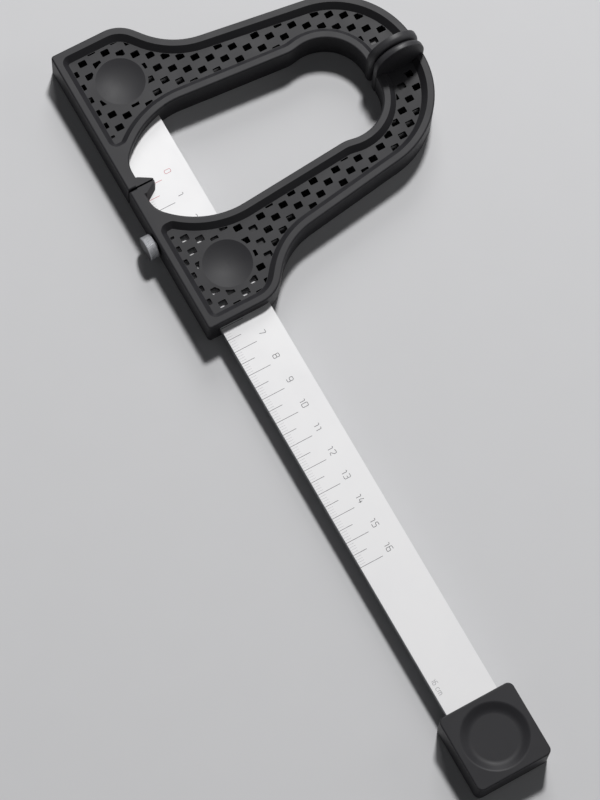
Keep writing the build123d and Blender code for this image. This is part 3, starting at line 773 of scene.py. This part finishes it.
ridgeTree = makeRidgeTree()
knobValues = {"ridges": 26.0, "lead": -0.6 * mm, "depth": 0.15 * mm, "chamfer": 0.3 * mm,
              "around": 208, "rings": 54}
studValues = {"ridges": 1.0, "lead": 0.5 * mm, "depth": 0.28 * mm, "chamfer": 0.2 * mm,
              "around": 40, "rings": 110}


def ridgedPiece(name, nodeName, values, finish):
    low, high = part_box(nodeName)
    centre = (low + high) / 2
    piece = runTree(name, ridgeTree, pointMesh(name + "Seed", [(0, 0, 0)]), {
        "Around": values["around"], "Rings": values["rings"], "Radius": (high.x - low.x) / 2,
        "Length": high.y - low.y, "Ridges": values["ridges"], "Lead": values["lead"],
        "Depth": values["depth"], "Chamfer": values["chamfer"], "Centre": tuple(centre), "Finish": finish})
    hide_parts(nodeName)
    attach(piece, "lock_screw")


ridgedPiece("knurledKnob", "lock_knob", knobValues, metals["knobMetal"])
ridgedPiece("threadedStud", "lock_stud", studValues, metals["screwSteel"])
print("lock knob and stud made")


# screws with a cross recess

# sizes as shares of the head, then the distances by which a node's mesh is read
screwValues = {
    "recessWide": 0.62,
    "recessBar": 0.17,
    "recessDeep": 0.6,
    "recessTaper": 0.6,
    "recessBelow": 0.3,
    "headChamfer": 0.12,
    "around": 32,
    "apart": 6.5 * mm,
    "topBand": 0.1 * mm,
    "rimBand": 0.05 * mm,
}


def screwMesh(name, headRadius, headHeight, shankRadius, length):
    # one screw, head at the bottom, turned about Z, with a cross recess cut up into the head
    chamfer = screwValues["headChamfer"] * headRadius
    profile = [(0, 0), (headRadius - chamfer, 0), (headRadius, chamfer), (headRadius, headHeight),
               (shankRadius, headHeight), (shankRadius, length - chamfer), (shankRadius - chamfer, length),
               (0, length)]
    body = bmesh.new()
    around = screwValues["around"]
    rings = []
    for radius, level in profile:
        if radius == 0:
            rings.append([body.verts.new((0, 0, level))])
        else:
            rings.append([body.verts.new((radius * math.cos(2 * math.pi * k / around),
                                          radius * math.sin(2 * math.pi * k / around), level))
                          for k in range(around)])
    for lower, upper in zip(rings, rings[1:]):
        for k in range(around):
            n = (k + 1) % around
            if len(lower) == 1:
                body.faces.new((lower[0], upper[n], upper[k]))
            elif len(upper) == 1:
                body.faces.new((lower[k], lower[n], upper[0]))
            else:
                body.faces.new((lower[k], lower[n], upper[n], upper[k]))
    mesh = bpy.data.meshes.new(name)
    body.to_mesh(mesh)
    body.free()
    blank = addObject(name + "Blank", mesh)
    wide = screwValues["recessWide"] * headRadius
    bar = screwValues["recessBar"] * headRadius
    deep = screwValues["recessDeep"] * headHeight
    taper = screwValues["recessTaper"]
    corners = [(bar, bar), (bar, wide), (-bar, wide), (-bar, bar), (-wide, bar), (-wide, -bar),
               (-bar, -bar), (-bar, -wide), (bar, -wide), (bar, -bar), (wide, -bar), (wide, bar)]
    tool = bmesh.new()
    lower = [tool.verts.new((x, y, -deep * screwValues["recessBelow"])) for x, y in corners]
    upper = [tool.verts.new((x * taper, y * taper, deep)) for x, y in corners]
    tool.faces.new(list(reversed(lower)))
    tool.faces.new(upper)
    for k in range(len(corners)):
        n = (k + 1) % len(corners)
        tool.faces.new((lower[k], lower[n], upper[n], upper[k]))
    bmesh.ops.recalc_face_normals(tool, faces=tool.faces)
    toolMesh = bpy.data.meshes.new(name + "Tool")
    tool.to_mesh(toolMesh)
    tool.free()
    cutter = addObject(name + "Cutter", toolMesh)
    cut = blank.modifiers.new("recess", "BOOLEAN")
    cut.operation = "DIFFERENCE"
    cut.solver = "EXACT"
    cut.object = cutter
    bpy.context.view_layer.update()
    made = bpy.data.meshes.new_from_object(blank.evaluated_get(bpy.context.evaluated_depsgraph_get()))
    bpy.data.objects.remove(blank)
    bpy.data.objects.remove(cutter)
    return made


def makeScrewTree():
    tree, given, result = newGroup(
        "screwsAtPoints", "GeometryNodeTree",
        [("Geometry", "NodeSocketGeometry", None), ("Screw", "NodeSocketObject", None),
         ("Turn Seed", "NodeSocketInt", 3), ("Finish", "NodeSocketMaterial", None)],
        [("Geometry", "NodeSocketGeometry", None)])
    one = addNode(tree, "GeometryNodeObjectInfo", transform_space="ORIGINAL")
    join(tree, given.outputs["Screw"], one.inputs["Object"])
    turn = addNode(tree, "FunctionNodeRandomValue", data_type="FLOAT_VECTOR")
    turn.inputs["Min"].default_value = (0, 0, 0)
    turn.inputs["Max"].default_value = (0, 0, 2 * math.pi)
    join(tree, given.outputs["Turn Seed"], turn.inputs["Seed"])
    copies = addNode(tree, "GeometryNodeInstanceOnPoints")
    join(tree, given.outputs["Geometry"], copies.inputs["Points"])
    join(tree, one.outputs["Geometry"], copies.inputs["Instance"])
    join(tree, turn.outputs[0], copies.inputs["Rotation"])
    finishTree(tree, result, copies.outputs["Instances"], given.outputs["Finish"])
    return tree


def screwPlaces(nodeName):
    # the separate screws of a node, read from its mesh: axis, radii and levels
    found = []
    for vertex in nodes[nodeName].data.vertices:
        p = vertex.co
        for screw in found:
            if math.hypot(p.x - screw["seen"][0].x, p.y - screw["seen"][0].y) < screwValues["apart"]:
                screw["seen"].append(p.copy())
                break
        else:
            found.append({"seen": [p.copy()]})
    for screw in found:
        xs, ys, zs = zip(*screw["seen"])
        x, y = (min(xs) + max(xs)) / 2, (min(ys) + max(ys)) / 2
        screw["middle"] = (x, y)
        screw["head"] = (max(xs) - min(xs)) / 2
        screw["low"], screw["high"] = min(zs), max(zs)
        top = [p for p in screw["seen"] if p.z > screw["high"] - screwValues["topBand"]]
        screw["shank"] = max(math.hypot(p.x - x, p.y - y) for p in top)
        rimStart = screw["head"] - screwValues["rimBand"]
        edge = [p.z for p in screw["seen"] if math.hypot(p.x - x, p.y - y) > rimStart]
        screw["headHeight"] = max(edge) - min(edge)
    return found


screwTree = makeScrewTree()
screwSets = [
    ("fixedCaseScrews", "fixed_case_screws", "frame"),
    ("fixedArmScrews", "fixed_arm_screws", "frame"),
    ("ruleScrews", "rule_screws", "frame"),
    ("slidingCaseScrews", "sliding_case_screws", "sliding_jaw"),
    ("slidingArmScrews", "sliding_arm_screws", "sliding_jaw"),
]
for seed, (name, nodeName, body) in enumerate(screwSets):
    places = screwPlaces(nodeName)
    first = places[0]
    one = addObject(name + "One", screwMesh(name + "Mesh", first["head"], first["headHeight"],
                                            first["shank"], first["high"] - first["low"]))
    points = [(*screw["middle"], screw["low"]) for screw in places]
    piece = runTree(name, screwTree, pointMesh(name + "Seed", points),
                    {"Screw": one, "Turn Seed": seed, "Finish": metals["screwSteel"]})
    bpy.data.objects.remove(one)
    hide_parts(nodeName)
    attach(piece, body)
    print(name, len(places), "screws")


# floor, light and camera

stageValues = {
    "floorColour": (0.62, 0.62, 0.63, 1.0),
    "floorHalf": 3.0,
    "floorRough": 0.9,
    "floorNoise": 60.0,
    "floorPaler": 1.02,
    "worldLight": 0.06,
    "worldColour": (0.95, 0.97, 1.0, 1.0),
    "backdrop": (0.62, 0.62, 0.63, 1.0),
    "keyPlace": (-1.12, 0.97, 2.10),
    "keySize": 0.32,
    "keyPower": 57.0,
    "fillPlace": (0.35, 1.15, 0.5),
    "fillSize": 0.5,
    "fillPower": 1.2,
    "topPlace": (-1.87, 1.13, 1.30),
    "topSize": 1.0,
    "topPower": 20.0,
    "lampTarget": (0.09, 0.03, 0.0),
}


def makeFloor():
    half = stageValues["floorHalf"]
    mesh = bpy.data.meshes.new("floor")
    corners = [(-half, -half, 0), (half, -half, 0), (half, half, 0), (-half, half, 0)]
    mesh.from_pydata(corners, [], [(0, 1, 2, 3)])
    floor = addObject("floor", mesh)
    material, tree, shader = startMaterial("floorPaper")
    shader.inputs["Roughness"].default_value = stageValues["floorRough"]
    shader.inputs["Specular IOR Level"].default_value = 0.0
    noise = setInputs(addNode(tree, "ShaderNodeTexNoise"), Scale=stageValues["floorNoise"], Detail=3.0)
    join(tree, addNode(tree, "ShaderNodeTexCoord").outputs["Object"], noise.inputs["Vector"])
    colour = stageValues["floorColour"]
    paler = palerThan(colour, stageValues["floorPaler"])
    join(tree, mixColour(tree, noise.outputs[0], colour, paler), shader.inputs["Base Color"])
    # seen from below, the floor lets the eye through
    clear = addNode(tree, "ShaderNodeBsdfTransparent")
    either = addNode(tree, "ShaderNodeMixShader")
    join(tree, addNode(tree, "ShaderNodeNewGeometry").outputs["Backfacing"], either.inputs[0])
    join(tree, shader.outputs[0], either.inputs[1])
    join(tree, clear.outputs[0], either.inputs[2])
    join(tree, either.outputs[0], tree.nodes["Material Output"].inputs["Surface"])
    mesh.materials.append(material)


def makeWorld():
    world = bpy.data.worlds.new("studio")
    bpy.context.scene.world = world
    world.use_nodes = True
    tree = world.node_tree
    shown = tree.nodes["Background"]
    shown.inputs["Color"].default_value = stageValues["backdrop"]
    shown.inputs["Strength"].default_value = 1.0
    light = addNode(tree, "ShaderNodeBackground")
    light.inputs["Color"].default_value = stageValues["worldColour"]
    light.inputs["Strength"].default_value = stageValues["worldLight"]
    path = addNode(tree, "ShaderNodeLightPath")
    seen = mathNode(tree, "MAXIMUM", path.outputs["Is Camera Ray"], path.outputs["Is Glossy Ray"])
    seen = mathNode(tree, "MAXIMUM", seen, path.outputs["Is Transmission Ray"])
    either = addNode(tree, "ShaderNodeMixShader")
    join(tree, seen, either.inputs[0])
    join(tree, light.outputs[0], either.inputs[1])
    join(tree, shown.outputs[0], either.inputs[2])
    join(tree, either.outputs[0], tree.nodes["World Output"].inputs["Surface"])


def addSoftbox(name, place, size, power):
    data = bpy.data.lights.new(name, "AREA")
    data.shape = "SQUARE"
    data.size = size
    data.energy = power
    lamp = addObject(name, data)
    lamp.location = place
    aim = Vector(stageValues["lampTarget"]) - Vector(place)
    lamp.rotation_euler = aim.to_track_quat("-Z", "Y").to_euler()


makeFloor()
makeWorld()
for lampName in ("key", "fill", "top"):
    addSoftbox(lampName + "Softbox", stageValues[lampName + "Place"], stageValues[lampName + "Size"],
               stageValues[lampName + "Power"])

cameraValues = {
    "place": (0.41778, -0.21644, 1.18216),
    "turn": (18.4495, -2.0165, 60.6566),
    "lens": 158.29,
    "sensor": 36.0,
    "clip": (0.01, 20.0),
}
cameraData = bpy.data.cameras.new("camera")
cameraData.lens = cameraValues["lens"]
cameraData.sensor_width = cameraValues["sensor"]
cameraData.clip_start, cameraData.clip_end = cameraValues["clip"]
camera = addObject("camera", cameraData)
camera.location = cameraValues["place"]
camera.rotation_euler = Euler([math.radians(angle) for angle in cameraValues["turn"]], "XYZ")
bpy.context.scene.camera = camera
bpy.context.scene.view_settings.view_transform = "Standard"
print("stage set")
